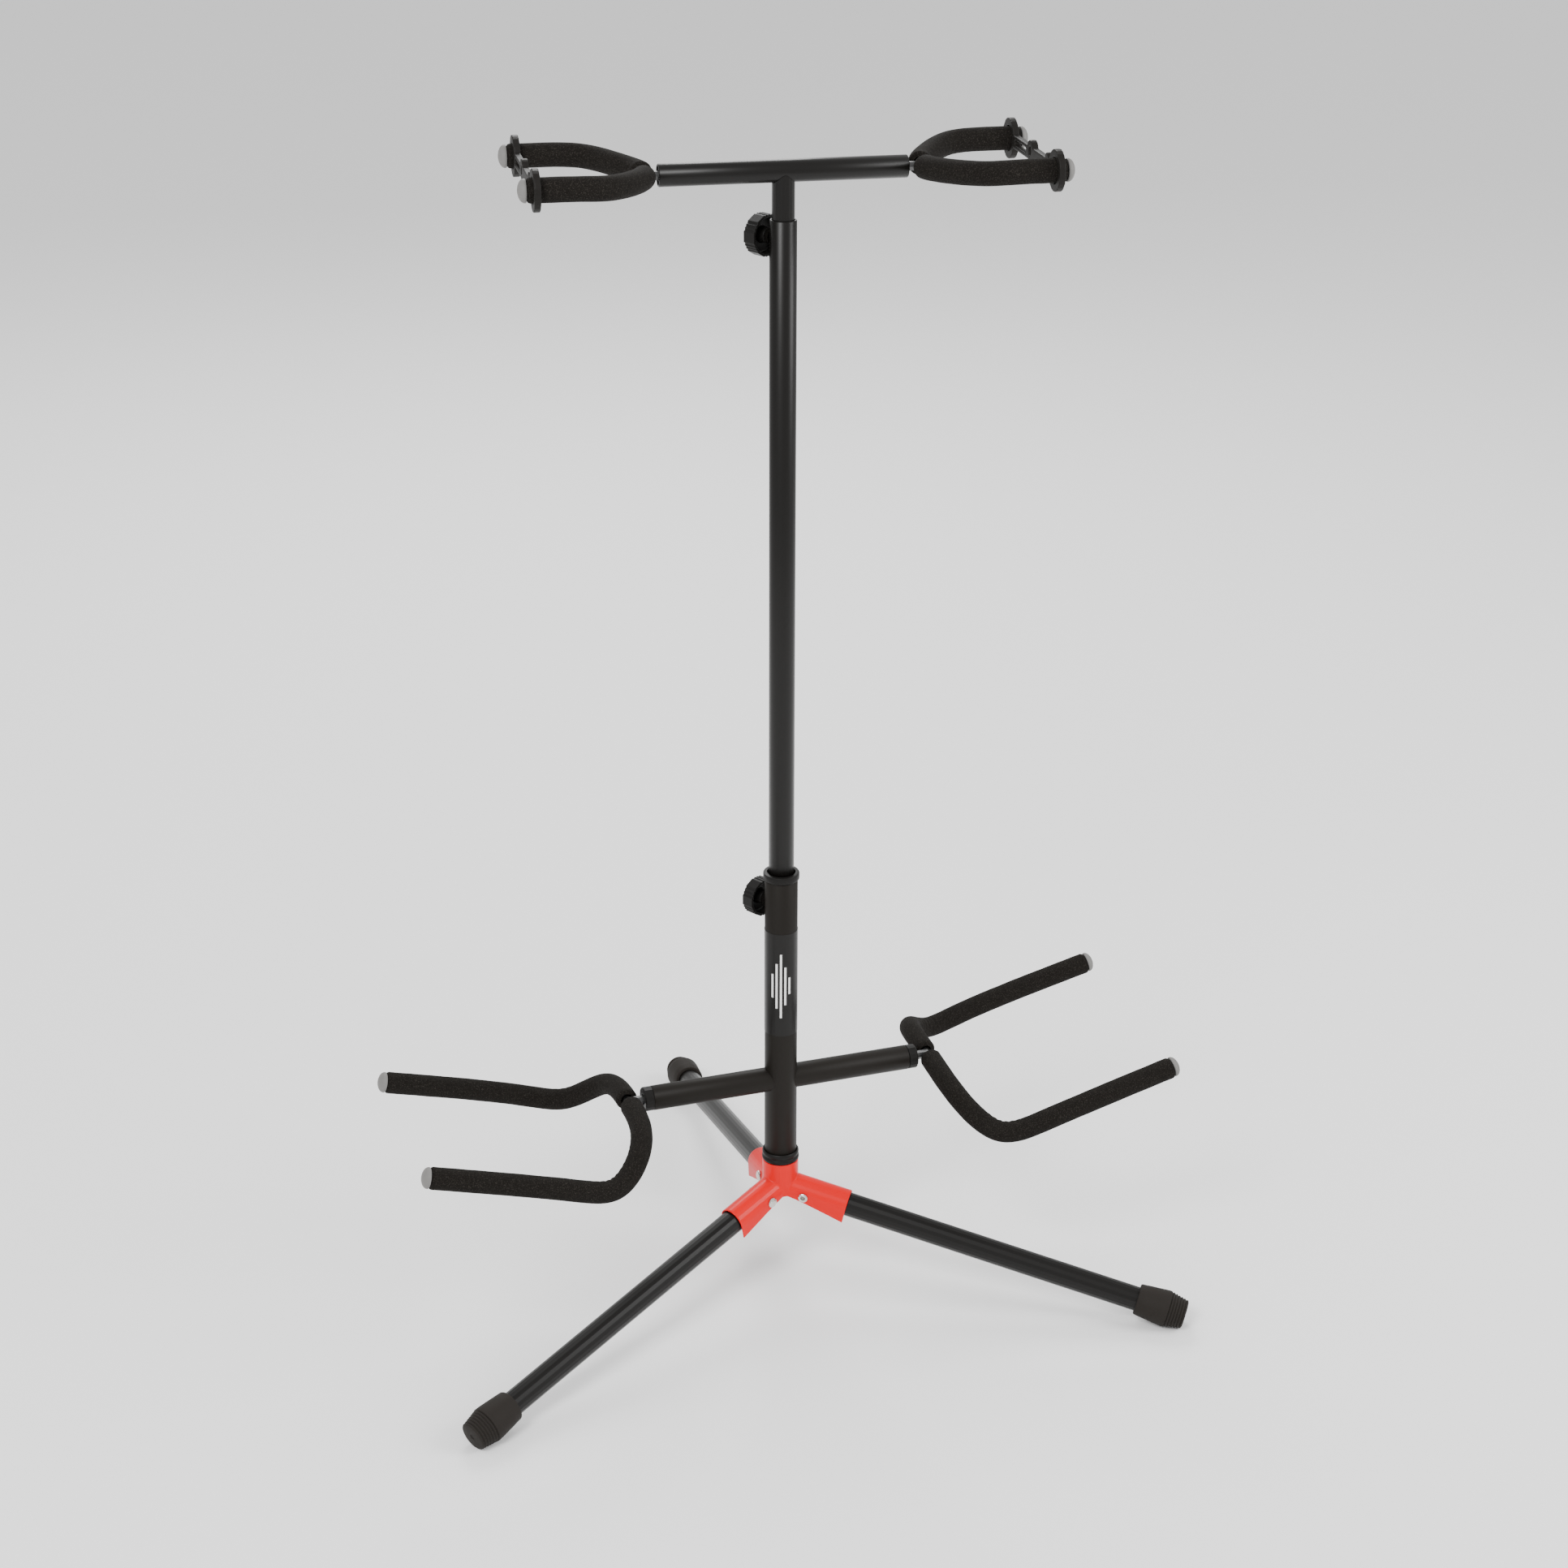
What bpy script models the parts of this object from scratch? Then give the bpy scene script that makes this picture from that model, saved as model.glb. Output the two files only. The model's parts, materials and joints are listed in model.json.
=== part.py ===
"""Double guitar stand: a folding tripod, a telescopic mast of three tubes, two foam-covered
cradles for the guitar bodies and two foam-covered yokes with rubber straps for their necks.

Metres, +Z up. The floor is z = 0 and the origin is the middle of the footprint. The lower
crossbar lies along X. The back leg points to +Y."""

import math

import bmesh
import bpy
from mathutils import Matrix, Vector

# ---------------------------------------------------------------- driving dimensions

MAST_Y = -0.07227  # the mast stands in front of the middle of the footprint

WALL = 0.0012
LOWER_TUBE_RADIUS = 0.0125
MID_TUBE_RADIUS = 0.0095
UPPER_TUBE_RADIUS = 0.0079
LOWER_BAR_RADIUS = 0.0095
TOP_BAR_RADIUS = 0.0078
LEG_RADIUS = 0.0094
ROD_RADIUS = 0.0035
FOAM_RADIUS = 0.0083
FOAM_BORE = 0.0048
GAP = 0.0003

HUB_Z = 0.0824  # where the leg axes meet the mast axis
SOCKET_FLOOR_Z = 0.0952
SOCKET_TOP_Z = 0.1052
HUB_RING_TOP_Z = 0.1140
LOWER_BAR_Z = 0.1765
LOWER_TUBE_TOP_Z = 0.3468
COLLAR_TOP_Z = 0.3528
LOWER_KNOB_Z = 0.3250
MID_TUBE_FOOT_Z = 0.2560
MID_TUBE_TOP_Z = 0.8433
UPPER_KNOB_Z = 0.8300
UPPER_TUBE_FOOT_Z = 0.5700
TOP_BAR_Z = 0.8764

TOP_TURN = math.radians(-7.0)  # the top bar is turned a little from the lower bar
KNOB_AZIMUTH = math.radians(117.5)

LEG_AZIMUTHS = [math.radians(88.0 + 120.0 * k) for k in range(3)]
LEG_NAMES = ["back", "left", "right"]
LEG_SLOPE = math.radians(12.6)
PIVOT_ALONG = 0.0215  # from the mast axis to the leg rivet, along the leg
CAP_START = 0.2916 - PIVOT_ALONG
CAP_END = 0.3300 - PIVOT_ALONG

LOWER_BAR_HALF = 0.1036
TOP_BAR_HALF = 0.0860

# Half of each bent rod, as the corners of its B-spline: outwards, across, up.
CRADLE_CORNERS = [
    (0.1220, 0.0000, 0.0000),
    (0.1216, 0.0568, -0.0027),
    (0.1510, 0.0813, -0.0359),
    (0.1841, 0.0845, -0.0213),
    (0.2956, 0.0828, 0.0082),
]
YOKE_CORNERS = [
    (0.0918, 0.0000, 0.0000),
    (0.1036, 0.0247, 0.0010),
    (0.1254, 0.0561, 0.0038),
    (0.1444, 0.0574, 0.0051),
    (0.1634, 0.0572, 0.0051),
    (0.1840, 0.0572, 0.0051),
]
CRADLE_ROLL = math.radians(3.7)
ROD_END_SHOWN = 0.0030  # how far a rod stands out of its foam, into the end cap

STRAP_OUT = 0.1750  # where the strap sits along the yoke arms
STRAP_ARM_Y = 0.0572
STRAP_ARM_Z = 0.0051
STRAP_THICKNESS = 0.0045
STRAP_RING_RADIUS = 0.0142
STRAP_RING_BORE = 0.0089
STRAP_BAND_HALF = 0.0045

KNOB_RADIUS = 0.0148
KNOB_THICKNESS = 0.0100
KNOB_STANDOFF = 0.0045  # from the tube to the knob's open back
STUD_RADIUS = 0.0030

TUBE_STEPS = 20

# ---------------------------------------------------------------- scene, materials, helpers

for old in list(bpy.data.objects):
    bpy.data.objects.remove(old, do_unlink=True)

PARTS = bpy.data.collections.new("double_guitar_stand")
CUTTERS = bpy.data.collections.new("cutters")
bpy.context.scene.collection.children.link(PARTS)
bpy.context.scene.collection.children.link(CUTTERS)


def make_material(name, color, roughness, metallic=0.0):
    material = bpy.data.materials.new(name)
    material.use_nodes = True
    shader = material.node_tree.nodes["Principled BSDF"]
    shader.inputs["Base Color"].default_value = (*color, 1.0)
    shader.inputs["Roughness"].default_value = roughness
    shader.inputs["Metallic"].default_value = metallic
    return material


BLACK_PAINT = make_material("black_paint", (0.012, 0.011, 0.010), 0.38)
MATT_PAINT = make_material("matt_black_paint", (0.030, 0.028, 0.025), 0.50)
RED_PAINT = make_material("red_paint", (0.80, 0.020, 0.028), 0.22)
NICKEL = make_material("nickel", (0.62, 0.60, 0.57), 0.28, 1.0)
DARK_STEEL = make_material("dark_steel", (0.10, 0.10, 0.10), 0.40, 1.0)
BLACK_PLASTIC = make_material("black_plastic", (0.015, 0.015, 0.014), 0.35)
GREY_CAP = make_material("grey_cap_plastic", (0.16, 0.155, 0.15), 0.42)
FOOT_RUBBER = make_material("foot_rubber", (0.045, 0.042, 0.038), 0.65)
STRAP_RUBBER = make_material("strap_rubber", (0.030, 0.028, 0.026), 0.50)
FOAM = make_material("black_foam", (0.012, 0.011, 0.010), 0.90)


def link(name, data, material=None, parent=None, collection=PARTS):
    """A new object in its collection, at its parent's origin."""
    item = bpy.data.objects.new(name, data)
    collection.objects.link(item)
    item.parent = parent
    if material:
        data.materials.append(material)
    return item


def make_frame(name, matrix, parent=None):
    """An empty that holds the pieces of one moving body."""
    empty = bpy.data.objects.new(name, None)
    PARTS.objects.link(empty)
    empty.parent = parent
    empty.matrix_local = matrix
    return empty


def hide_cutter(item):
    item.hide_render = True
    item.display_type = "WIRE"
    return item


def along(start, direction):
    """The transform that takes local +Z to a direction and the origin to a start point."""
    turn = Vector(direction).to_track_quat("Z", "Y").to_matrix().to_4x4()
    return Matrix.Translation(Vector(start)) @ turn


def turned(name, profile, material, parent, matrix=None, steps=TUBE_STEPS, collection=PARTS):
    """A turned piece about local Z. The profile is (radius, height) and runs down its outer side."""
    mesh = bpy.data.meshes.new(name)
    points = [(radius, 0.0, height) for radius, height in profile]
    closed = profile[0][0] > 0 and profile[-1][0] > 0
    edges = [(i, i + 1) for i in range(len(points) - 1)]
    if closed:
        edges.append((len(points) - 1, 0))
    mesh.from_pydata(points, edges, [])
    item = link(name, mesh, material, parent, collection)
    item.matrix_local = matrix or Matrix()
    screw = item.modifiers.new("Turn", "SCREW")
    screw.axis = "Z"
    screw.angle = 2 * math.pi
    screw.steps = steps
    screw.render_steps = steps
    screw.use_merge_vertices = True
    screw.merge_threshold = 0.00001
    screw.use_smooth_shade = True
    return item


def tube(name, radius, bore, start, end, material, parent, steps=TUBE_STEPS):
    """A straight open tube between two points."""
    start, end = Vector(start), Vector(end)
    length = (end - start).length
    profile = [(radius, length), (radius, 0.0), (bore, 0.0), (bore, length)]
    return turned(name, profile, material, parent, along(start, end - start), steps)


def cylinder_cutter(name, radius, start, end, parent, steps=TUBE_STEPS):
    """A solid cylinder between two points, for cutting."""
    start, end = Vector(start), Vector(end)
    length = (end - start).length
    mesh = bpy.data.meshes.new(name)
    shape = bmesh.new()
    bmesh.ops.create_cone(
        shape, cap_ends=True, segments=steps, radius1=radius, radius2=radius, depth=length
    )
    shape.to_mesh(mesh)
    shape.free()
    item = link(name, mesh, None, parent, CUTTERS)
    item.matrix_local = along((start + end) / 2, end - start)
    return hide_cutter(item)


def combine(item, other, operation="DIFFERENCE"):
    boolean = item.modifiers.new(operation.title(), "BOOLEAN")
    boolean.operation = operation
    boolean.solver = "EXACT"
    boolean.object = other
    return item


def as_mesh(item):
    """The mesh object that stands in for a curve object, with its caps welded on."""
    bpy.context.view_layer.update()
    graph = bpy.context.evaluated_depsgraph_get()
    mesh = bpy.data.meshes.new_from_object(item.evaluated_get(graph))
    shape = bmesh.new()
    shape.from_mesh(mesh)
    bmesh.ops.remove_doubles(shape, verts=shape.verts, dist=0.00001)
    bmesh.ops.recalc_face_normals(shape, faces=shape.faces)
    shape.to_mesh(mesh)
    shape.free()
    name, parent, matrix = item.name, item.parent, item.matrix_local.copy()
    collection = item.users_collection[0]
    bpy.data.objects.remove(item, do_unlink=True)
    mesh.name = name
    solid = link(name, mesh, None, parent, collection)
    solid.matrix_local = matrix
    return solid


def wire(name, points, radius, material, parent, resolution=1, caps=True, collection=PARTS):
    """A round bar along a list of points."""
    curve = bpy.data.curves.new(name, "CURVE")
    curve.dimensions = "3D"
    curve.bevel_depth = radius
    curve.bevel_resolution = resolution
    curve.use_fill_caps = caps
    spline = curve.splines.new("POLY")
    spline.points.add(len(points) - 1)
    for spot, point in zip(spline.points, points):
        spot.co = (*point, 1.0)
    return link(name, curve, material, parent, collection)


def sleeve(name, points, radius, bore, material, parent):
    """A hollow sleeve along a list of points: an open skin with thickness inwards."""
    item = as_mesh(wire(name, points, radius, material, parent, resolution=2, caps=False))
    solidify = item.modifiers.new("Wall", "SOLIDIFY")
    solidify.thickness = radius - bore
    solidify.offset = -1.0
    solidify.use_even_offset = True
    return item


def plate(name, loops, thickness, material, parent, matrix, collection=PARTS):
    """A flat piece cut to its outlines, the first outside and the others holes in it."""
    curve = bpy.data.curves.new(name, "CURVE")
    curve.dimensions = "2D"
    curve.fill_mode = "BOTH"
    curve.extrude = thickness / 2
    for loop in loops:
        spline = curve.splines.new("POLY")
        spline.points.add(len(loop) - 1)
        for spot, (across, up) in zip(spline.points, loop):
            spot.co = (across, up, 0.0, 1.0)
        spline.use_cyclic_u = True
    item = link(name, curve, material, parent, collection)
    item.matrix_local = matrix
    return item


def arc(center, radius, first, last, steps):
    """Points on an arc, its two ends included. Angles are in degrees."""
    angles = [math.radians(first + (last - first) * k / steps) for k in range(steps + 1)]
    return [
        (center[0] + radius * math.cos(a), center[1] + radius * math.sin(a)) for a in angles
    ]


def circle(center, radius, steps):
    return arc(center, radius, 0.0, 360.0, steps)[:-1]


def spline_half(corners, side, steps=3):
    """Half of a symmetric bent rod, from its middle to its end, as points on a cubic B-spline."""
    outer = [Vector((side * out, across, up)) for out, across, up in corners]
    mirrored = Vector((outer[1].x, -outer[1].y, outer[1].z))
    controls = [mirrored, *outer, outer[-1], outer[-1]]
    points = []
    for k in range(len(controls) - 3):
        a, b, c, d = controls[k : k + 4]
        for step in range(steps):
            t = step / steps
            points.append(
                (
                    a * (1 - t) ** 3
                    + b * (3 * t**3 - 6 * t**2 + 4)
                    + c * (-3 * t**3 + 3 * t**2 + 3 * t + 1)
                    + d * t**3
                )
                / 6
            )
    points.append(outer[-1])
    return points


def length_of(points):
    return sum((b - a).length for a, b in zip(points, points[1:]))


def stretch(points, start, end):
    """The part of a path between two distances along it."""
    kept, travelled = [], 0.0
    for a, b in zip(points, points[1:]):
        step = (b - a).length
        for mark in (start, end):
            if travelled <= mark < travelled + step:
                kept.append(a.lerp(b, (mark - travelled) / step))
        if start < travelled + step < end:
            kept.append(b)
        travelled += step
    return kept


def flipped(points):
    """The same path on the other side of the rod's middle."""
    return [Vector((p.x, -p.y, p.z)) for p in points]


# ---------------------------------------------------------------- frames of the moving bodies

MAST = make_frame("mast_frame", Matrix.Translation((0.0, MAST_Y, 0.0)))
TOP = make_frame(
    "top_frame",
    Matrix.Translation((0.0, 0.0, TOP_BAR_Z)) @ Matrix.Rotation(TOP_TURN, 4, "Z"),
    MAST,
)


def leg_frame(name, azimuth):
    """Origin on the rivet, +X along the leg, Y along the rivet."""
    turn = Matrix.Rotation(azimuth, 4, "Z")
    drop = Matrix.Rotation(LEG_SLOPE, 4, "Y")
    out = Matrix.Translation((PIVOT_ALONG, 0.0, 0.0))
    return make_frame(name, Matrix.Translation((0.0, 0.0, HUB_Z)) @ turn @ drop @ out, MAST)


LEG_FRAMES = [leg_frame(f"leg_frame_{n}", a) for n, a in zip(LEG_NAMES, LEG_AZIMUTHS)]

# ---------------------------------------------------------------- hub, its ring and the rivets

HUB_SOCKET_RADIUS = 0.0141
ARM_RADIUS = 0.0113
ARM_INNER = 0.0101
ARM_BACK = -0.0180
CHANNEL_BACK = -0.0117  # the hub's core is solid between the channels
ARM_LENGTH = 0.0345
ARM_DEPTH = 0.0240  # the walls start this deep and are trimmed by the cone below
TRIM_TOP_Z = 0.0830
TRIM_SLOPE = math.radians(24.0)
TRIM_RADIUS = 0.0900
RIVET_RADIUS = 0.0026


def arch(name, radius, back, front, parent):
    """An inverted U along the leg: a half-round roof with straight walls, as a solid."""
    outline = [(-radius, -ARM_DEPTH), (radius, -ARM_DEPTH), *arc((0, 0), radius, 0, 180, 12)]
    matrix = Matrix.Translation(((back + front) / 2, 0.0, 0.0)) @ Matrix(
        ((0, 0, 1, 0), (1, 0, 0, 0), (0, 1, 0, 0), (0, 0, 0, 1))
    )
    solid = plate(name, [outline], front - back, None, parent, matrix, CUTTERS)
    return hide_cutter(as_mesh(solid))


def make_hub():
    hub = turned(
        "hub",
        [
            (0.0, SOCKET_TOP_Z),
            (HUB_SOCKET_RADIUS, SOCKET_TOP_Z),
            (HUB_SOCKET_RADIUS, HUB_Z - ARM_DEPTH - 0.0020),
            (0.0, HUB_Z - ARM_DEPTH - 0.0020),
        ],
        RED_PAINT,
        MAST,
        steps=36,
    )
    for label, frame in zip(LEG_NAMES, LEG_FRAMES):
        combine(hub, arch(f"arm_{label}", ARM_RADIUS, ARM_BACK, ARM_LENGTH, frame), "UNION")
    for label, frame in zip(LEG_NAMES, LEG_FRAMES):
        combine(hub, arch(f"channel_{label}", ARM_INNER, CHANNEL_BACK, 0.06, frame))
        hole = ((0.0, -0.02, 0.0), (0.0, 0.02, 0.0))
        combine(hub, cylinder_cutter(f"rivet_hole_{label}", RIVET_RADIUS + GAP, *hole, frame, 16))
    top = (0.0, 0.0, SOCKET_TOP_Z + 0.01)
    bore = LOWER_TUBE_RADIUS + GAP
    combine(hub, cylinder_cutter("socket_bore", bore, (0, 0, SOCKET_FLOOR_Z), top, MAST, 36))
    trim = turned(
        "hub_trim",
        [
            (0.0, TRIM_TOP_Z),
            (TRIM_RADIUS, TRIM_TOP_Z - TRIM_RADIUS * math.tan(TRIM_SLOPE)),
            (TRIM_RADIUS, 0.0),
            (0.0, 0.0),
        ],
        None,
        MAST,
        steps=31,
        collection=CUTTERS,
    )
    combine(hub, hide_cutter(trim))


def make_hub_ring():
    """The double-lipped plastic ring between the hub's socket and the lower tube."""
    bore = LOWER_TUBE_RADIUS + GAP
    base = SOCKET_TOP_Z + GAP
    profile = [
        (bore + 0.0006, HUB_RING_TOP_Z),
        (0.0138, HUB_RING_TOP_Z - 0.0008),
        (0.0143, HUB_RING_TOP_Z - 0.0024),
        (0.0138, HUB_RING_TOP_Z - 0.0038),
        (0.0138, HUB_RING_TOP_Z - 0.0048),
        (0.0145, HUB_RING_TOP_Z - 0.0060),
        (0.0145, base + 0.0008),
        (0.0140, base),
        (bore, base),
        (bore, HUB_RING_TOP_Z - 0.0006),
    ]
    turned("hub_ring", profile, BLACK_PLASTIC, MAST, steps=24)


def make_rivet(label, frame):
    """A semi-tubular rivet: a domed head at +Y and a rolled hollow end at -Y."""
    face = ARM_RADIUS + GAP
    profile = [
        (0.0, face + 0.0020),
        (0.0020, face + 0.0018),
        (0.0036, face + 0.0011),
        (0.0042, face + 0.0003),
        (0.0042, face),
        (RIVET_RADIUS, face),
        (RIVET_RADIUS, -face),
        (0.0037, -face),
        (0.0038, -face - 0.0007),
        (0.0032, -face - 0.0013),
        (0.0020, -face - 0.0010),
        (0.0017, -face + 0.0030),
        (0.0, -face + 0.0034),
    ]
    turned(f"rivet_{label}", profile, NICKEL, frame, along((0, 0, 0), (0, 1, 0)), steps=12)


# ---------------------------------------------------------------- legs and foot caps

CAP_MOUTH_RADIUS = 0.0121
CAP_WIDE_RADIUS = 0.0142
CAP_NOSE_RADIUS = 0.0111
CAP_SLEEVE = 0.0240
CAP_RIBS = 6
RIB_DEPTH = 0.0005
LEG_BORE = LEG_RADIUS - WALL


def make_leg(label, frame):
    """A tube whose inner end is a ball about the rivet, so that it clears the hub as it folds."""
    end = CAP_END - 0.0070
    mouth = math.asin(math.sqrt(LEG_RADIUS**2 - LEG_BORE**2) / LEG_RADIUS)
    ball = [(LEG_RADIUS * math.cos(a), -LEG_RADIUS * math.sin(a)) for a in (0.0, mouth / 2, mouth)]
    profile = [(LEG_RADIUS, end), *ball, (LEG_BORE, end)]
    leg = turned(f"leg_{label}", profile, BLACK_PAINT, frame, along((0, 0, 0), (1, 0, 0)))
    hole = ((0.0, -0.02, 0.0), (0.0, 0.02, 0.0))
    combine(leg, cylinder_cutter(f"leg_hole_{label}", RIVET_RADIUS + GAP, *hole, frame, 16))


def make_foot_cap(label, frame):
    """A rubber cap with a flared sleeve and a ribbed nose whose underside lies on the floor."""
    length = CAP_END - CAP_START
    nose = length - CAP_SLEEVE
    bore = LEG_RADIUS + GAP
    profile = [(0.0, length), (CAP_NOSE_RADIUS - 0.0008, length), (CAP_NOSE_RADIUS, length - 0.0010)]
    for rib in range(CAP_RIBS):
        for share, depth in ((0.25, 0.0), (0.75, RIB_DEPTH)):
            down = 0.0010 + (nose - 0.0014) * (rib + share) / CAP_RIBS
            wide = CAP_NOSE_RADIUS + (CAP_WIDE_RADIUS - CAP_NOSE_RADIUS) * down / nose
            profile.append((wide - depth, length - down))
    profile += [
        (CAP_WIDE_RADIUS, length - nose),
        (CAP_MOUTH_RADIUS, 0.0008),
        (CAP_MOUTH_RADIUS - 0.0006, 0.0),
        (bore, 0.0),
        (bore, length - 0.0066),
        (0.0, length - 0.0066),
    ]
    matrix = along((CAP_START, 0, 0), (1, 0, 0))
    cap = turned(f"foot_cap_{label}", profile, FOOT_RUBBER, frame, matrix)
    return combine(cap, FLOOR)


def make_floor_cutter():
    mesh = bpy.data.meshes.new("floor_cut")
    shape = bmesh.new()
    bmesh.ops.create_cube(shape, size=1.0)
    bmesh.ops.scale(shape, vec=(1.2, 1.2, 0.1), verts=shape.verts)
    bmesh.ops.translate(shape, vec=(0.0, 0.0, -0.05), verts=shape.verts)
    shape.to_mesh(mesh)
    shape.free()
    return hide_cutter(link("floor_cut", mesh, None, None, CUTTERS))


# ---------------------------------------------------------------- mast tubes and their guides


def knob_direction():
    return Vector((math.cos(KNOB_AZIMUTH), math.sin(KNOB_AZIMUTH), 0.0))


def screw_hole(item, name, height):
    start = Vector((0.0, 0.0, height))
    end = start + knob_direction() * 0.03
    combine(item, cylinder_cutter(name, STUD_RADIUS + 2 * GAP, start, end, MAST, 16))


def make_lower_tube():
    item = tube(
        "lower_tube",
        LOWER_TUBE_RADIUS,
        LOWER_TUBE_RADIUS - WALL,
        (0, 0, SOCKET_FLOOR_Z + GAP),
        (0, 0, LOWER_TUBE_TOP_Z),
        MATT_PAINT,
        MAST,
        steps=24,
    )
    across = ((-0.02, 0, LOWER_BAR_Z), (0.02, 0, LOWER_BAR_Z))
    combine(item, cylinder_cutter("bar_hole", LOWER_BAR_RADIUS + GAP, *across, MAST, 24))
    screw_hole(item, "lower_screw_hole", LOWER_KNOB_Z)


def make_clutch_collar():
    """A plastic bush in the lower tube's mouth, with a flange on top."""
    sleeve_radius = LOWER_TUBE_RADIUS - WALL - GAP
    bore = MID_TUBE_RADIUS + GAP
    flange = LOWER_TUBE_TOP_Z + GAP
    profile = [
        (bore + 0.0010, COLLAR_TOP_Z),
        (0.0131, COLLAR_TOP_Z),
        (0.0137, COLLAR_TOP_Z - 0.0007),
        (0.0137, flange + 0.0012),
        (0.0131, flange),
        (sleeve_radius, flange),
        (sleeve_radius, LOWER_KNOB_Z - 0.0200),
        (bore, LOWER_KNOB_Z - 0.0200),
        (bore, COLLAR_TOP_Z - 0.0010),
    ]
    collar = turned("clutch_collar", profile, BLACK_PLASTIC, MAST, steps=24)
    screw_hole(collar, "collar_screw_hole", LOWER_KNOB_Z)


def make_mid_tube():
    item = tube(
        "mid_tube",
        MID_TUBE_RADIUS,
        MID_TUBE_RADIUS - WALL,
        (0, 0, MID_TUBE_FOOT_Z),
        (0, 0, MID_TUBE_TOP_Z),
        BLACK_PAINT,
        MAST,
        steps=24,
    )
    screw_hole(item, "upper_screw_hole", UPPER_KNOB_Z)


def make_glide(name, top_z, radius, plug):
    """A plastic guide ring under a tube, with a neck that plugs into it."""
    flange = top_z - GAP
    profile = [
        (plug, top_z + 0.0100),
        (plug, flange),
        (radius, flange),
        (radius, flange - 0.0100),
        (plug - 0.0015, flange - 0.0100),
        (plug - 0.0015, top_z + 0.0100),
    ]
    turned(name, profile, BLACK_PLASTIC, MAST, steps=TUBE_STEPS)


def make_upper_tube():
    """The inner tube, its top shaped to the underside of the top bar that it's welded to."""
    item = tube(
        "upper_tube",
        UPPER_TUBE_RADIUS,
        UPPER_TUBE_RADIUS - WALL,
        (0, 0, UPPER_TUBE_FOOT_Z - TOP_BAR_Z),
        (0, 0, 0),
        BLACK_PAINT,
        TOP,
    )
    across = ((-0.03, 0, 0), (0.03, 0, 0))
    combine(item, cylinder_cutter("bar_saddle", TOP_BAR_RADIUS + GAP, *across, TOP, 24))


# ---------------------------------------------------------------- crossbars and their ends


def make_crossbars():
    for name, half, radius, height, paint, frame in (
        ("lower_crossbar", LOWER_BAR_HALF, LOWER_BAR_RADIUS, LOWER_BAR_Z, MATT_PAINT, MAST),
        ("top_crossbar", TOP_BAR_HALF, TOP_BAR_RADIUS, 0.0, BLACK_PAINT, TOP),
    ):
        ends = ((-half, 0, height), (half, 0, height))
        tube(name, radius, radius - WALL, *ends, paint, frame)


def make_bar_plug(label, side):
    """The plastic plug in the lower bar's end, which the cradle's stem turns in."""
    bore = ROD_RADIUS + GAP
    profile = [
        (bore + 0.0008, 0.0072),
        (0.0087, 0.0072),
        (0.0094, 0.0064),
        (0.0094, GAP),
        (LOWER_BAR_RADIUS - WALL - GAP, GAP),
        (LOWER_BAR_RADIUS - WALL - GAP, -0.0140),
        (bore, -0.0140),
        (bore, 0.0064),
    ]
    matrix = along((side * LOWER_BAR_HALF, 0, LOWER_BAR_Z), (side, 0, 0))
    turned(f"crossbar_plug_{label}", profile, BLACK_PLASTIC, MAST, matrix)


def make_yoke_socket(label, side):
    """The steel bush in the top bar's end that the yoke's stem is welded into."""
    bore = ROD_RADIUS + GAP
    radius = TOP_BAR_RADIUS - WALL - GAP
    profile = [(radius, -0.0010), (radius, -0.0210), (bore, -0.0210), (bore, -0.0010)]
    matrix = along((side * TOP_BAR_HALF, 0, 0), (side, 0, 0))
    turned(f"yoke_socket_{label}", profile, DARK_STEEL, TOP, matrix, steps=20)


# ---------------------------------------------------------------- bent rods, foam, end caps


def make_fork(kind, label, side, corners, parent, stem_from, foam_from):
    """A bent rod with a stem, a foam sleeve on each arm and a cap on each end."""
    half = spline_half(corners, side)
    total = length_of(half)
    bent = as_mesh(
        wire(f"{kind}_rod_{label}", flipped(half)[:0:-1] + half, ROD_RADIUS, None, parent)
    )
    bent.data.materials.append(DARK_STEEL)
    stem_points = [Vector((side * stem_from, 0, 0)), Vector((half[0].x, 0, 0))]
    stem = wire(f"{kind}_stem_{label}", stem_points, ROD_RADIUS * 0.97, None, parent, 1, True, CUTTERS)
    combine(bent, hide_cutter(as_mesh(stem)), "UNION")
    for arm, path in (("far", half), ("near", flipped(half))):
        covered = stretch(path, foam_from, total - ROD_END_SHOWN)
        foam = sleeve(f"{kind}_foam_{label}_{arm}", covered, FOAM_RADIUS, FOAM_BORE, None, parent)
        foam.data.materials.append(FOAM)
        outwards = path[-1] - path[-2]
        base = path[-1] - outwards.normalized() * (ROD_END_SHOWN - GAP)
        make_end_cap(f"{kind}_cap_{label}_{arm}", base, outwards, parent)


def make_end_cap(name, base, outwards, parent):
    """A domed cap over the rod's end, as wide as the foam."""
    bore = ROD_RADIUS + GAP
    depth = ROD_END_SHOWN + GAP
    profile = [
        (0.0, 0.0055),
        (0.0050, 0.0041),
        (0.0068, 0.0024),
        (0.0077, 0.0009),
        (0.0077, 0.0),
        (bore, 0.0),
        (bore, depth),
        (0.0, depth),
    ]
    turned(name, profile, GREY_CAP, parent, along(base, outwards), steps=14)


def make_retainer(label, side, parent):
    """The push-on steel washer that keeps the cradle's stem in the bar."""
    bore = ROD_RADIUS + GAP
    profile = [(0.0074, 0.0015), (0.0074, 0.0), (bore, 0.0), (bore, 0.0015)]
    matrix = along((side * (LOWER_BAR_HALF - 0.0170), 0, 0), (side, 0, 0))
    turned(f"cradle_retainer_{label}", profile, DARK_STEEL, parent, matrix, steps=20)


# ---------------------------------------------------------------- rubber straps


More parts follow.
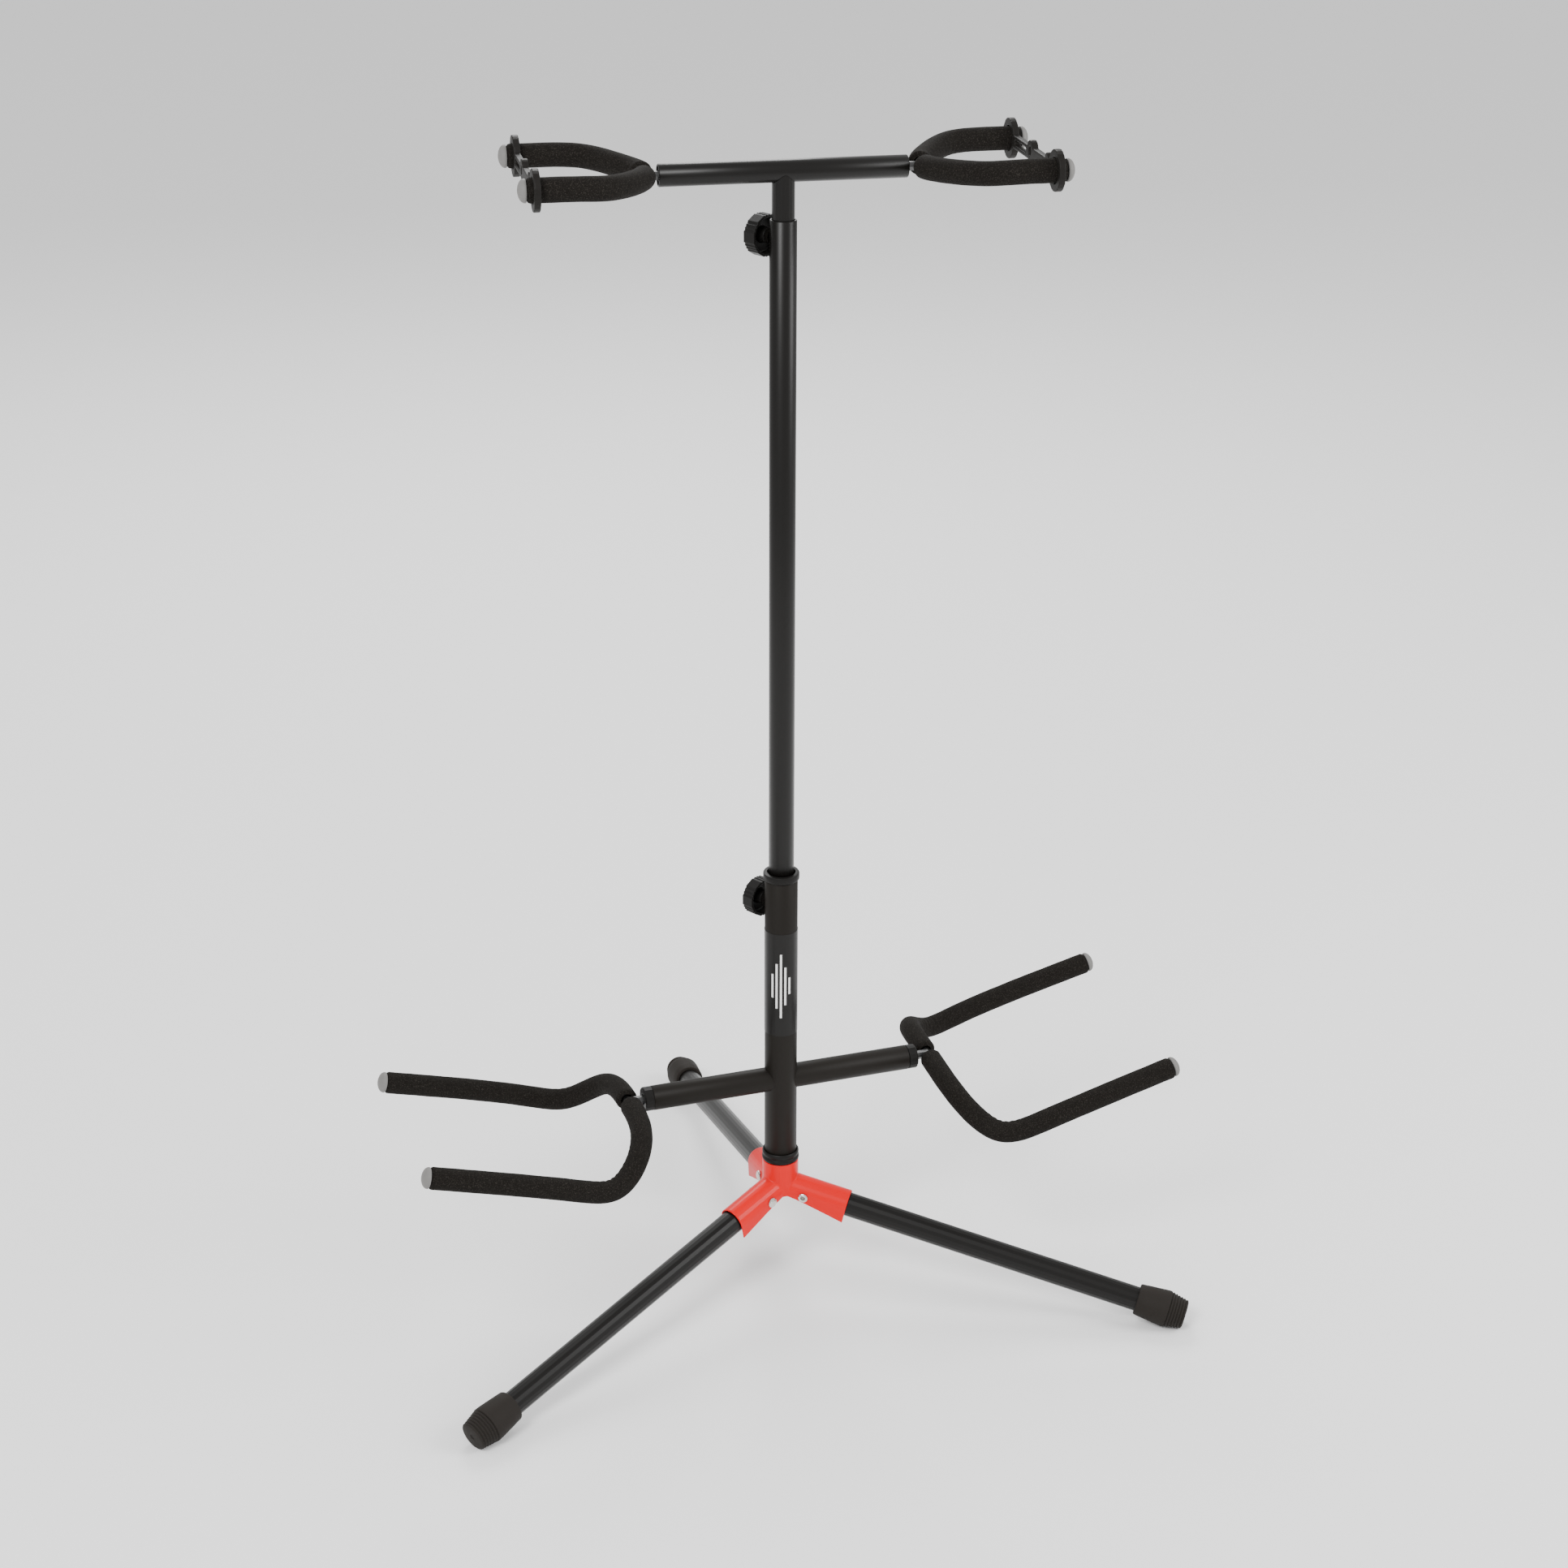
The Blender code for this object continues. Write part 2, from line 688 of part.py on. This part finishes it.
def make_strap(label, side):
    """Two rings round the yoke arms, joined by a band with a slot, an eyelet and a finger tab."""
    ring, band, arm = STRAP_RING_RADIUS, STRAP_BAND_HALF, STRAP_ARM_Y
    meet = math.degrees(math.asin(band / ring))
    eye, eye_radius = (0.0020, 0.0015), 0.0075
    tab, tab_radius = (-0.0385, band), 0.0040
    outline = [
        *arc((arm, 0), ring, meet - 180, 180 - meet, 22),
        *arc(eye, eye_radius, 24, 156, 8),
        *arc(tab, tab_radius, 0, 180, 6),
        *arc((-arm, 0), ring, meet, 360 - meet, 22),
        *arc(eye, eye_radius, 233, 307, 5),
    ]
    slot_half = 0.0019
    slot = [*arc((0.0385, 0), slot_half, -90, 90, 4), *arc((0.0135, 0), slot_half, 90, 270, 4)]
    holes = [
        circle((arm, 0), STRAP_RING_BORE, 20),
        circle((-arm, 0), STRAP_RING_BORE, 20),
        circle(eye, 0.0032, 10),
        slot,
    ]
    matrix = Matrix.Translation((side * STRAP_OUT, 0, STRAP_ARM_Z)) @ Matrix(
        ((0, 0, 1, 0), (1, 0, 0, 0), (0, 1, 0, 0), (0, 0, 0, 1))
    )
    plate(f"strap_{label}", [outline, *holes], STRAP_THICKNESS, STRAP_RUBBER, TOP, matrix)


# ---------------------------------------------------------------- clamp knobs, studs and nuts

KNOB_LOBES = 6
NUT_RADIUS = 0.0056
KNOB_WALL = 0.0022
KNOB_FACE = 0.0030


def knob_outline():
    """Six flats, and three round grooves between each two."""
    points = []
    pitch = 360.0 / KNOB_LOBES
    for lobe in range(KNOB_LOBES):
        middle = lobe * pitch
        for offset in (-15.0, 15.0):
            angle = math.radians(middle + offset)
            points.append((KNOB_RADIUS * math.cos(angle), KNOB_RADIUS * math.sin(angle)))
        for groove in range(3):
            for share, depth in ((0.30, 0.0007), (0.70, 0.0007), (1.0, 0.0)):
                if groove == 2 and share == 1.0:
                    continue
                angle = math.radians(middle + 15.0 + (pitch - 30.0) * (groove + share) / 3)
                radius = KNOB_RADIUS - depth
                points.append((radius * math.cos(angle), radius * math.sin(angle)))
    return points


def make_clamp(level, tube_radius, height, tip_radius):
    """A weld nut on the tube, a threaded stud through it and a fluted knob on the stud."""
    out = knob_direction()
    origin = Vector((0.0, 0.0, height))
    back = tube_radius + KNOB_STANDOFF
    matrix = along(origin + out * back, out)
    raised = matrix @ Matrix.Translation((0, 0, KNOB_THICKNESS / 2))
    knob = as_mesh(plate(f"{level}_knob", [knob_outline()], KNOB_THICKNESS, None, MAST, raised))
    knob.data.materials.append(BLACK_PLASTIC)
    inner = KNOB_RADIUS - KNOB_WALL
    boss = 0.0052
    floor = KNOB_THICKNESS - KNOB_FACE
    hollow = turned(
        f"{level}_knob_hollow",
        [(inner, floor), (inner, -0.001), (boss, -0.001), (boss + 0.0006, floor)],
        None,
        MAST,
        matrix,
        collection=CUTTERS,
    )
    combine(knob, hide_cutter(hollow))
    bore_end = origin + out * (back + floor)
    bore = STUD_RADIUS + GAP
    combine(knob, cylinder_cutter(f"{level}_knob_bore", bore, origin, bore_end, MAST, 16))
    dish = turned(
        f"{level}_knob_dish",
        [(0.0, 0.0150), (0.0105, 0.0150), (0.0098, 0.0090), (0.0, 0.0086)],
        None,
        MAST,
        matrix,
        collection=CUTTERS,
    )
    combine(knob, hide_cutter(dish))
    stud_length = back + floor - GAP - tip_radius
    stud_profile = [(0.0, stud_length), (STUD_RADIUS, stud_length), (STUD_RADIUS, 0.0010)]
    stud_profile += [(STUD_RADIUS - 0.0008, 0.0), (0.0, 0.0)]
    stud_matrix = along(origin + out * tip_radius, out)
    turned(f"{level}_stud", stud_profile, DARK_STEEL, MAST, stud_matrix, steps=16)
    face, depth = tube_radius + GAP, KNOB_STANDOFF - 0.0012
    hole = STUD_RADIUS + GAP
    nut_profile = [(NUT_RADIUS, depth), (NUT_RADIUS, 0.0), (hole, 0.0), (hole, depth)]
    nut_matrix = along(origin + out * face, out)
    turned(f"{level}_weld_nut", nut_profile, BLACK_PAINT, MAST, nut_matrix, steps=12)


# ---------------------------------------------------------------- the whole stand

FLOOR = make_floor_cutter()
make_hub()
make_hub_ring()
for leg_name, leg_body in zip(LEG_NAMES, LEG_FRAMES):
    make_rivet(leg_name, leg_body)
    make_leg(leg_name, leg_body)
    make_foot_cap(leg_name, leg_body)
make_lower_tube()
make_clutch_collar()
make_mid_tube()
make_glide("mid_tube_glide", MID_TUBE_FOOT_Z, 0.0109, 0.0079)
make_upper_tube()
make_glide("upper_tube_glide", UPPER_TUBE_FOOT_Z, 0.0078, 0.0062)
make_crossbars()
for side_name, sign in (("left", -1), ("right", 1)):
    make_bar_plug(side_name, sign)
    make_yoke_socket(side_name, sign)
    cradle = make_frame(
        f"cradle_frame_{side_name}",
        Matrix.Translation((0, 0, LOWER_BAR_Z)) @ Matrix.Rotation(sign * CRADLE_ROLL, 4, "X"),
        MAST,
    )
    make_fork("cradle", side_name, sign, CRADLE_CORNERS, cradle, 0.0840, 0.0046)
    make_retainer(side_name, sign, cradle)
    make_fork("yoke", side_name, sign, YOKE_CORNERS, TOP, 0.0680, 0.0050)
    make_strap(side_name, sign)
make_clamp("upper", MID_TUBE_RADIUS, UPPER_KNOB_Z, UPPER_TUBE_RADIUS + GAP)
make_clamp("lower", LOWER_TUBE_RADIUS, LOWER_KNOB_Z, MID_TUBE_RADIUS + GAP)

bpy.context.view_layer.update()
for item in PARTS.objects:
    if item.type == "MESH":
        item.data.shade_smooth()
        item.data.set_sharp_from_angle(angle=math.radians(40))
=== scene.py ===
"""The looks of a double guitar stand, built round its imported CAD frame.

The foam, the end caps, the tubes, the feet and the plastic rings are meshes of their own. The hub,
the straps and the knobs are the CAD's, rounded. Lengths are in metres."""

import json
import math

import bpy
from mathutils import Matrix, Vector, noise

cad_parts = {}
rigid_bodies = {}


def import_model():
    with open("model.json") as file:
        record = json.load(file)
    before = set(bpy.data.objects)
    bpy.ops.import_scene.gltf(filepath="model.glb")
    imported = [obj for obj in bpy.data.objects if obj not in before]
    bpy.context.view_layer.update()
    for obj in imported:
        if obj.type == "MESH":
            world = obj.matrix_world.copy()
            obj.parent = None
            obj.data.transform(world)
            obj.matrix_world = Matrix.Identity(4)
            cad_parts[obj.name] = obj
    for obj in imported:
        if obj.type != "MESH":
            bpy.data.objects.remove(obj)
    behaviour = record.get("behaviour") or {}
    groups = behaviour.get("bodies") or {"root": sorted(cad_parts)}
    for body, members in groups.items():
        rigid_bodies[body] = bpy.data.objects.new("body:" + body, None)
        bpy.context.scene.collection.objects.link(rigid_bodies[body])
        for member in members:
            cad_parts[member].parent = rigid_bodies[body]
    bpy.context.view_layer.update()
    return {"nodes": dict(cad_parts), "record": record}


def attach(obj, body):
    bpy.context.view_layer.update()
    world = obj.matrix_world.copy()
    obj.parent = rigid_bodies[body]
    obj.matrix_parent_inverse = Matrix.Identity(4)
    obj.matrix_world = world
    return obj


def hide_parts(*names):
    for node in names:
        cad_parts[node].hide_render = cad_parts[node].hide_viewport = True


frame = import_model()

MAST_Y = -0.07227
TOP_Z = 0.8764
BAR_Z = 0.1765
HUB_Z = 0.0824
SLOPE = math.radians(12.6)
PIVOT = 0.0215
TOP_TURN = math.radians(-7.0)
CRADLE_ROLL = math.radians(3.7)
TUBE_WALL = 0.0012
BAR_HALF = 0.1036
TOP_BAR_HALF = 0.0860
FOAM_RADIUS = 0.0083
FOAM_BORE = 0.0048
ROD_END_SHOWN = 0.0030
CAP_RADIUS = 0.0079
FOOT_START = 0.2701  # from the rivet, along the leg
FOOT_LENGTH = 0.0384
RIB_START = 0.0246
RIB_SPAN = 0.0134
RIB_TAPER = 0.0028
RIBS = 6
NODES = frame["nodes"]

# ---------------------------------------------------------------- camera

yaw, pitch, roll = math.radians(18.50), math.radians(23.61), math.radians(-0.196)
right = Vector((math.cos(yaw), -math.sin(yaw), 0.0))
ahead = Vector((math.sin(yaw) * math.cos(pitch), math.cos(yaw) * math.cos(pitch), -math.sin(pitch)))
up = right.cross(ahead)
camera_data = bpy.data.cameras.new("camera")
camera_data.sensor_width = 36.0
camera_data.lens = 65.45
camera = bpy.data.objects.new("camera", camera_data)
bpy.context.scene.collection.objects.link(camera)
turn = Matrix((right, up, -ahead)).transposed().to_4x4()
place = Matrix.Translation((-0.6110, -1.8317 + MAST_Y, 1.2681))
camera.matrix_world = place @ turn @ Matrix.Rotation(-roll, 4, "Z")
bpy.context.scene.camera = camera

# ---------------------------------------------------------------- materials


def material(
    name, color, rough, metal=0.0, coat=0.0, grain=0.0, scale=400.0, speck=None, shine=0.12
):
    """A plain finish, with an optional fine grain in its surface and specks in its colour."""
    made = bpy.data.materials.new(name)
    made.use_nodes = True
    tree = made.node_tree
    shader = tree.nodes["Principled BSDF"]
    shader.inputs["Base Color"].default_value = (*color, 1.0)
    shader.inputs["Roughness"].default_value = rough
    shader.inputs["Metallic"].default_value = metal
    shader.inputs["Specular IOR Level"].default_value = shine
    shader.inputs["Coat Weight"].default_value = coat
    shader.inputs["Coat Roughness"].default_value = 0.12
    if grain:
        where = tree.nodes.new("ShaderNodeTexCoord")
        field = tree.nodes.new("ShaderNodeTexNoise")
        field.inputs["Scale"].default_value = scale
        field.inputs["Detail"].default_value = 4.0
        bump = tree.nodes.new("ShaderNodeBump")
        bump.inputs["Strength"].default_value = grain
        bump.inputs["Distance"].default_value = 0.0004
        tree.links.new(where.outputs["Object"], field.inputs["Vector"])
        tree.links.new(field.outputs["Fac"], bump.inputs["Height"])
        tree.links.new(bump.outputs["Normal"], shader.inputs["Normal"])
        if speck:
            ramp = tree.nodes.new("ShaderNodeValToRGB")
            ramp.color_ramp.elements[0].position = 0.52
            ramp.color_ramp.elements[0].color = (*color, 1.0)
            ramp.color_ramp.elements[1].position = 0.74
            ramp.color_ramp.elements[1].color = (*speck, 1.0)
            tree.links.new(field.outputs["Fac"], ramp.inputs["Fac"])
            tree.links.new(ramp.outputs["Color"], shader.inputs["Base Color"])
    return made


LOOKS = {
    "black_paint": material("black_paint", (0.004, 0.0035, 0.003), 0.34, grain=0.03, shine=0.22),
    "matt_black_paint": material("matt_black", (0.010, 0.0085, 0.007), 0.48, grain=0.06),
    "red_paint": material(
        "red_paint", (0.66, 0.0005, 0.003), 0.30, coat=0.08, grain=0.08, scale=120.0
    ),
    "nickel": material("nickel", (0.62, 0.60, 0.57), 0.25, metal=1.0, grain=0.03, shine=0.5),
    "dark_steel": material("dark_steel", (0.10, 0.10, 0.10), 0.40, metal=1.0, grain=0.05),
    "black_plastic": material(
        "black_plastic", (0.008, 0.0075, 0.007), 0.42, grain=0.05, scale=900.0
    ),
    "grey_cap_plastic": material("grey_cap", (0.17, 0.166, 0.16), 0.5, grain=0.08, scale=900.0),
    "foot_rubber": material("foot_rubber", (0.016, 0.0135, 0.0115), 0.65, grain=0.15, scale=900.0),
    "strap_rubber": material("strap_rubber", (0.009, 0.008, 0.007), 0.5, grain=0.08, scale=700.0),
    "black_foam": material(
        "black_foam",
        (0.006, 0.005, 0.004),
        0.92,
        grain=0.5,
        scale=1500.0,
        speck=(0.035, 0.031, 0.027),
    ),
}
FILM = material("label_film", (0.006, 0.0055, 0.005), 0.3, grain=0.02, shine=0.2)
WHITE = material("label_mark", (0.75, 0.75, 0.74), 0.40, grain=0.02)
SLOT_OF = {part["node"]: part["material_slot"] for part in frame["record"]["subparts"]}

for node_name, node in NODES.items():
    node.data.materials.clear()
    node.data.materials.append(LOOKS[SLOT_OF[node_name]])
    for face in node.data.polygons:
        face.use_smooth = True
    node.data.set_sharp_from_angle(angle=math.radians(38))

# ---------------------------------------------------------------- mesh helpers


def grid_mesh(name, rings, look, cyclic=False):
    """Skins rings of equal length. Unless the rings close on themselves, each end is filled."""
    count = len(rings[0])
    points = [tuple(point) for ring in rings for point in ring]
    faces = []
    for r in range(len(rings) - (0 if cyclic else 1)):
        a, b = r * count, ((r + 1) % len(rings)) * count
        for k in range(count):
            n = (k + 1) % count
            faces.append((a + k, a + n, b + n, b + k))
    if not cyclic:
        faces.append(tuple(reversed(range(count))))
        faces.append(tuple(range((len(rings) - 1) * count, len(rings) * count)))
    mesh = bpy.data.meshes.new(name)
    mesh.from_pydata(points, [], faces)
    mesh.materials.append(look)
    mesh.validate()
    for face in mesh.polygons:
        face.use_smooth = True
    mesh.set_sharp_from_angle(angle=math.radians(45))
    made = bpy.data.objects.new(name, mesh)
    bpy.context.scene.collection.objects.link(made)
    return made


def along(start, direction):
    """The transform that takes local +Z to a direction and the origin to a start point."""
    turned = Vector(direction).to_track_quat("Z", "Y").to_matrix().to_4x4()
    return Matrix.Translation(Vector(start)) @ turned


def lathe(name, profile, matrix, look, cyclic=False, steps=64):
    """A piece turned about local Z. The profile is (radius, height)."""
    rings = []
    for radius, height in profile:
        ring = []
        for k in range(steps):
            angle = 2 * math.pi * k / steps
            spot = Vector((radius * math.cos(angle), radius * math.sin(angle), height))
            ring.append(matrix @ spot)
        rings.append(ring)
    return grid_mesh(name, rings, look, cyclic)


def stand_for(made, body, node):
    """Puts a piece on its body, in place of its CAD node if it has one."""
    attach(made, body)
    if node:
        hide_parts(node)
    return made


def spline_half(corners, side, steps=24):
    """Half of a bent rod, from its middle to its end, on a cubic B-spline."""
    outer = [Vector((side * out, across, rise)) for out, across, rise in corners]
    controls = [Vector((outer[1].x, -outer[1].y, outer[1].z)), *outer, outer[-1], outer[-1]]
    points = []
    for k in range(len(controls) - 3):
        a, b, c, d = controls[k : k + 4]
        for step in range(steps):
            t = step / steps
            total = a * (1 - t) ** 3 + b * (3 * t**3 - 6 * t**2 + 4)
            total = total + c * (-3 * t**3 + 3 * t**2 + 3 * t + 1) + d * t**3
            points.append(total / 6)
    points.append(outer[-1])
    return points


def resample(points, start, end, spacing):
    """Points at even spacing along the path. The end is counted back from the path's own end."""
    lengths = [0.0]
    for a, b in zip(points, points[1:]):
        lengths.append(lengths[-1] + (b - a).length)
    end = lengths[-1] + end
    count = max(2, round((end - start) / spacing))
    found, k = [], 0
    for i in range(count + 1):
        mark = start + (end - start) * i / count
        while k < len(lengths) - 2 and lengths[k + 1] < mark:
            k += 1
        share = (mark - lengths[k]) / max(lengths[k + 1] - lengths[k], 1e-9)
        found.append(points[k].lerp(points[k + 1], share))
    return found


def foam(name, path, matrix, seed):
    """A foam sleeve: soft ends, a slightly uneven skin and creases on the inside of its bends."""
    radius, bore, steps, spacing = FOAM_RADIUS, FOAM_BORE, 40, 0.0010
    spots = resample(path, 0.0048, -ROD_END_SHOWN, spacing)
    rings, inner = [], []
    normal = Vector((0, 0, 1))
    last = len(spots) - 1
    for i, spot in enumerate(spots):
        tangent = (spots[min(i + 1, last)] - spots[max(i - 1, 0)]).normalized()
        normal = (normal - tangent * normal.dot(tangent)).normalized()
        side = tangent.cross(normal)
        before, after = spots[max(i - 6, 0)], spots[min(i + 6, last)]
        bend = (before + after) / 2 - spot
        amount = min(1.0, bend.length / 0.0009)
        inward = bend.normalized() if bend.length > 1e-6 else normal
        edge = min(i, last - i) * spacing
        shrink = 0.0016 * max(0.0, 1.0 - edge / 0.0020) ** 2
        ring, hollow = [], []
        for k in range(steps):
            angle = 2 * math.pi * k / steps
            out = normal * math.cos(angle) + side * math.sin(angle)
            crease = 0.5 + 0.5 * math.sin(2 * math.pi * i * spacing / 0.0062 + seed)
            crease *= amount * max(0.0, out.dot(inward)) ** 2
            uneven = noise.noise(spot * 90 + out * 0.8 + Vector((seed, 0, 0)))
            size = radius - shrink - 0.0007 * crease + 0.00012 * uneven
            ring.append(matrix @ (spot + out * size))
            hollow.append(matrix @ (spot + out * bore))
        rings.append(ring)
        if i % 4 == 0 or i == last:
            inner.append(hollow)
    return grid_mesh(name, rings + inner[::-1], LOOKS["black_foam"], cyclic=True)


# ---------------------------------------------------------------- padded arms and their caps

CRADLE = [
    (0.1220, 0.0000, 0.0000),
    (0.1216, 0.0568, -0.0027),
    (0.1510, 0.0813, -0.0359),
    (0.1841, 0.0845, -0.0213),
    (0.2956, 0.0828, 0.0082),
]
YOKE = [
    (0.0918, 0.0000, 0.0000),
    (0.1036, 0.0247, 0.0010),
    (0.1254, 0.0561, 0.0038),
    (0.1444, 0.0574, 0.0051),
    (0.1634, 0.0572, 0.0051),
    (0.1840, 0.0572, 0.0051),
]
MAST = Matrix.Translation((0, MAST_Y, 0))
TOP = Matrix.Translation((0, MAST_Y, TOP_Z)) @ Matrix.Rotation(TOP_TURN, 4, "Z")

for side_name, sign in (("left", -1), ("right", 1)):
    roll = Matrix.Rotation(sign * CRADLE_ROLL, 4, "X")
    cradle = MAST @ Matrix.Translation((0, 0, BAR_Z)) @ roll
    for kind, corners, matrix, body in (
        ("cradle", CRADLE, cradle, f"cradle_{side_name}"),
        ("yoke", YOKE, TOP, "upper_mast"),
    ):
        half = spline_half(corners, sign)
        for arm, across in (("far", 1), ("near", -1)):
            path = [Vector((p.x, across * p.y, p.z)) for p in half]
            label = f"{kind}_foam_{side_name}_{arm}"
            made = foam(f"visual_{label}", path, matrix, len(bpy.data.objects))
            stand_for(made, body, label)
            outwards = (path[-1] - path[-2]).normalized()
            base = path[-1] - outwards * 0.0027
            dome = [(0.0001, 0.0056)]
            for angle in (0.2, 0.5, 0.8, 1.1, 1.4):
                dome.append((CAP_RADIUS * math.sin(angle), 0.0010 + 0.0046 * math.cos(angle)))
            dome += [(CAP_RADIUS, 0.0005), (0.0076, 0.0001), (0.0001, 0.0001)]
            label = f"{kind}_cap_{side_name}_{arm}"
            place = matrix @ along(base, outwards)
            cap = lathe(f"visual_{label}", dome[::-1], place, LOOKS["grey_cap_plastic"])
            stand_for(cap, body, label)

# ---------------------------------------------------------------- tubes, collar, ring, feet


def tube(node, body, radius, start, end, lip=0.0005):
    """A straight open tube in place of a CAD node, with its edges broken."""
    start, end = Vector(start), Vector(end)
    length = (end - start).length
    bore = radius - TUBE_WALL
    profile = [(bore, 0.0), (radius - lip, 0.0), (radius, lip), (radius, length - lip)]
    profile += [(radius - lip, length), (bore, length)]
    made = lathe(f"visual_{node}", profile, along(start, end - start), LOOKS[SLOT_OF[node]], True)
    return stand_for(made, body, node)


tube("mid_tube", "mid_mast", 0.0095, (0, MAST_Y, 0.256), (0, MAST_Y, 0.8433))
tube("lower_tube", "base", 0.0125, (0, MAST_Y, 0.0955), (0, MAST_Y, 0.3468))
tube("lower_crossbar", "base", 0.0095, (-BAR_HALF, MAST_Y, BAR_Z), (BAR_HALF, MAST_Y, BAR_Z))
top_ends = [TOP @ Vector((side * TOP_BAR_HALF, 0, 0)) for side in (-1, 1)]
tube("top_crossbar", "upper_mast", 0.0078, *top_ends)

# One rib of a foot cap: (share of its length, depth below the cone).
GROOVE = ((0.10, 0.0005), (0.30, 0.0008), (0.50, 0.0002), (0.75, 0.0), (0.98, 0.0003))

for leg_name, azimuth in (("back", 88.0), ("left", 208.0), ("right", 328.0)):
    turn = Matrix.Rotation(math.radians(azimuth), 4, "Z") @ Matrix.Rotation(SLOPE, 4, "Y")
    leg = MAST @ Matrix.Translation((0, 0, HUB_Z)) @ turn @ Matrix.Translation((PIVOT, 0, 0))
    cap = [(0.0001, 0.0010), (0.0093, 0.0010), (0.0096, 0.0), (0.0115, 0.0), (0.0121, 0.0007)]
    cap += [(0.0130, 0.0090), (0.0140, 0.0200), (0.0142, 0.0236), (0.0140, 0.0246)]
    for rib in range(RIBS):
        base = RIB_START + RIB_SPAN * rib / RIBS
        wide = 0.0140 - RIB_TAPER * rib / RIBS
        for share, depth in GROOVE:
            cap.append((wide - RIB_TAPER * share / RIBS - depth, base + RIB_SPAN * share / RIBS))
    cap += [(0.0100, FOOT_LENGTH), (0.0022, FOOT_LENGTH)]
    cap += [(0.0018, FOOT_LENGTH - 0.0005), (0.0001, FOOT_LENGTH - 0.0005)]
    matrix = leg @ along((FOOT_START, 0, 0), (1, 0, 0))
    made = lathe(f"visual_foot_cap_{leg_name}", cap, matrix, LOOKS["foot_rubber"], steps=72)
    for point in made.data.vertices:
        point.co.z = max(point.co.z, 0.0)
    stand_for(made, f"leg_{leg_name}_body", f"foot_cap_{leg_name}")

collar = [(0.0098, 0.3050), (0.0110, 0.3050), (0.0110, 0.3471), (0.0130, 0.3471), (0.0136, 0.3477)]
collar += [(0.0137, 0.3490), (0.0137, 0.3518), (0.0133, 0.3526), (0.0126, 0.3528), (0.0108, 0.3528)]
collar += [(0.0100, 0.3518)]
made = lathe("visual_clutch_collar", collar, MAST, LOOKS["black_plastic"], True)
stand_for(made, "base", "clutch_collar")
ring = [(0.0128, 0.1056), (0.0140, 0.1056), (0.0144, 0.1062), (0.0145, 0.1072), (0.0144, 0.1082)]
ring += [(0.0138, 0.1088), (0.0136, 0.1094), (0.0138, 0.1102), (0.0142, 0.1107), (0.0143, 0.1118)]
ring += [(0.0141, 0.1130), (0.0134, 0.1138), (0.0128, 0.1136)]
made = lathe("visual_hub_ring", ring, MAST, LOOKS["black_plastic"], True)
stand_for(made, "base", "hub_ring")

# ---------------------------------------------------------------- label film and its mark


def wrapped(name, first, last, low, high, inner, outer, look, steps):
    """A curved patch on the lower tube, between two azimuths and two heights."""
    rings = []
    for k in range(steps + 1):
        angle = math.radians(first + (last - first) * k / steps)
        out = Vector((math.cos(angle), math.sin(angle), 0))
        corners = ((inner, low), (outer, low), (outer, high), (inner, high))
        rings.append([MAST @ (out * radius + Vector((0, 0, z))) for radius, z in corners])
    return grid_mesh(name, rings, look)


film = lathe(
    "visual_label_film",
    [(0.01252, 0.2190), (0.01275, 0.2190), (0.01275, 0.3055), (0.01252, 0.3055)],
    MAST,
    FILM,
    True,
)
stand_for(film, "base", None)
MARKS = ((0.252, 0.272), (0.243, 0.281), (0.235, 0.289), (0.246, 0.278), (0.255, 0.269))
for bar, (low, high) in enumerate(MARKS):
    middle = 251.5 + (bar - 2) * 15.0
    span = (middle - 3.6, middle + 3.6, low, high)
    mark = wrapped(f"visual_mark_{bar}", *span, 0.01278, 0.01286, WHITE, 4)
    stand_for(mark, "base", None)

# ---------------------------------------------------------------- smoother castings and mouldings

for node_name, size, passes in (
    ("hub", 0.00045, 6),
    ("strap_left", 0.00045, 5),
    ("strap_right", 0.00045, 5),
    ("upper_knob", 0.00030, 3),
    ("lower_knob", 0.00030, 3),
):
    node = NODES[node_name]
    remesh = node.modifiers.new("Fill", "REMESH")
    remesh.mode = "VOXEL"
    remesh.voxel_size = size
    remesh.use_smooth_shade = True
    relax = node.modifiers.new("Round", "SMOOTH")
    relax.factor = 0.5
    relax.iterations = passes

# ---------------------------------------------------------------- floor and light

bpy.ops.mesh.primitive_plane_add(size=30.0, location=(0, 0, -0.0002))
floor = bpy.context.object
floor.name = "floor"
floor.data.materials.append(material("floor", (0.93, 0.93, 0.93), 0.85))
world = bpy.data.worlds.new("studio")
world.use_nodes = True
world.node_tree.nodes["Background"].inputs["Color"].default_value = (1.0, 1.0, 1.0, 1.0)
world.node_tree.nodes["Background"].inputs["Strength"].default_value = 1.0
bpy.context.scene.world = world


def lamp(name, location, energy, size):
    """A square lamp that faces the stand."""
    data = bpy.data.lights.new(name, "AREA")
    data.energy = energy
    data.size = size
    made = bpy.data.objects.new(name, data)
    bpy.context.scene.collection.objects.link(made)
    direction = Vector((0, MAST_Y, 0.4)) - Vector(location)
    turned = direction.to_track_quat("-Z", "Y").to_matrix().to_4x4()
    made.matrix_world = Matrix.Translation(location) @ turned


lamp("key", (-1.6, -1.6, 2.4), 70.0, 1.0)
lamp("fill", (2.0, -1.2, 1.6), 45.0, 1.2)
lamp("rim", (0.4, 2.2, 2.2), 45.0, 1.2)
